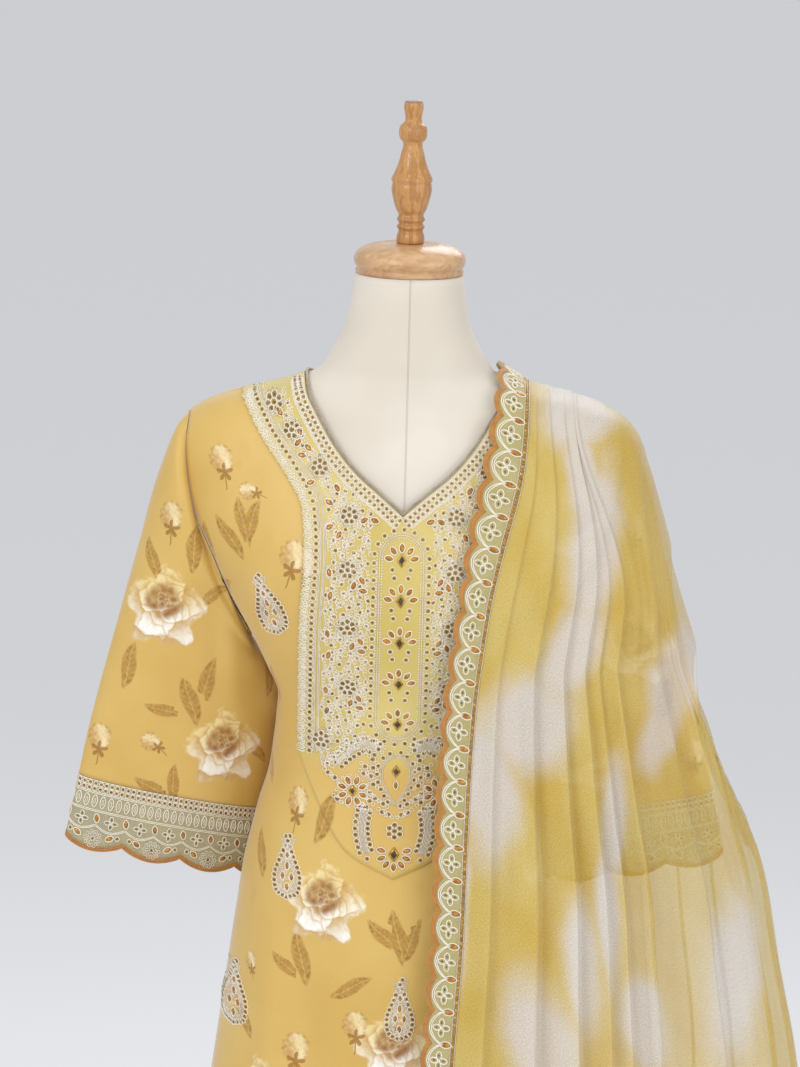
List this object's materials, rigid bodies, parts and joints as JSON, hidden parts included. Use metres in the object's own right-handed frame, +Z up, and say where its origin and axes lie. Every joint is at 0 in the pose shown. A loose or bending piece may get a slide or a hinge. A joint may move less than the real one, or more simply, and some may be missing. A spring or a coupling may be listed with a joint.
{
  "type": "salwar kameez suit on a dress form",
  "caption": "Salwar kameez suit with an embroidered V-neck yoke, lace cuffs and a sheer dupatta over one shoulder, worn by a limbless dress form on a turned stand.",
  "frame": {"origin": "middle of the stand's underside, on the floor", "axes": "+Z up, -Y towards the front of the suit, +X towards the wearer's left, where the dupatta hangs"},
  "size_m": [0.7396, 0.3604, 1.6813],
  "materials": {
    "form_canvas": "matt cream canvas",
    "cap_wood": "pale, satin",
    "finial_wood": "honey, varnished",
    "stand_metal": "satin",
    "kameez_print": "golden yellow floral print, slight sheen",
    "yoke_embroidery": "thread, sequins and stones on net",
    "neck_cord": "twisted cord",
    "cuff_lace": "corded lace on net",
    "salwar_cotton": "plain woven, matt",
    "dupatta_sheer": "sheer crinkled weave, tie-dyed",
    "dupatta_lace": "scalloped corded lace"
  },
  "bodies": {
    "root": {"form_torso": "form_canvas", "neck_cap": "cap_wood", "finial": "finial_wood", "stand_pole": "stand_metal", "stand_base": "stand_metal", "kameez_front": "kameez_print", "kameez_back": "kameez_print", "sleeve_left": "kameez_print", "sleeve_right": "kameez_print", "neck_yoke": "yoke_embroidery", "neck_piping": "neck_cord", "cuff_lace_left": "cuff_lace", "cuff_lace_right": "cuff_lace", "salwar_waistband": "salwar_cotton", "salwar_hips": "salwar_cotton", "salwar_leg_left": "salwar_cotton", "salwar_leg_right": "salwar_cotton", "dupatta_front": "dupatta_sheer", "dupatta_back": "dupatta_sheer", "dupatta_border_front": "dupatta_lace", "dupatta_border_back": "dupatta_lace"}
  },
  "joints": []
}
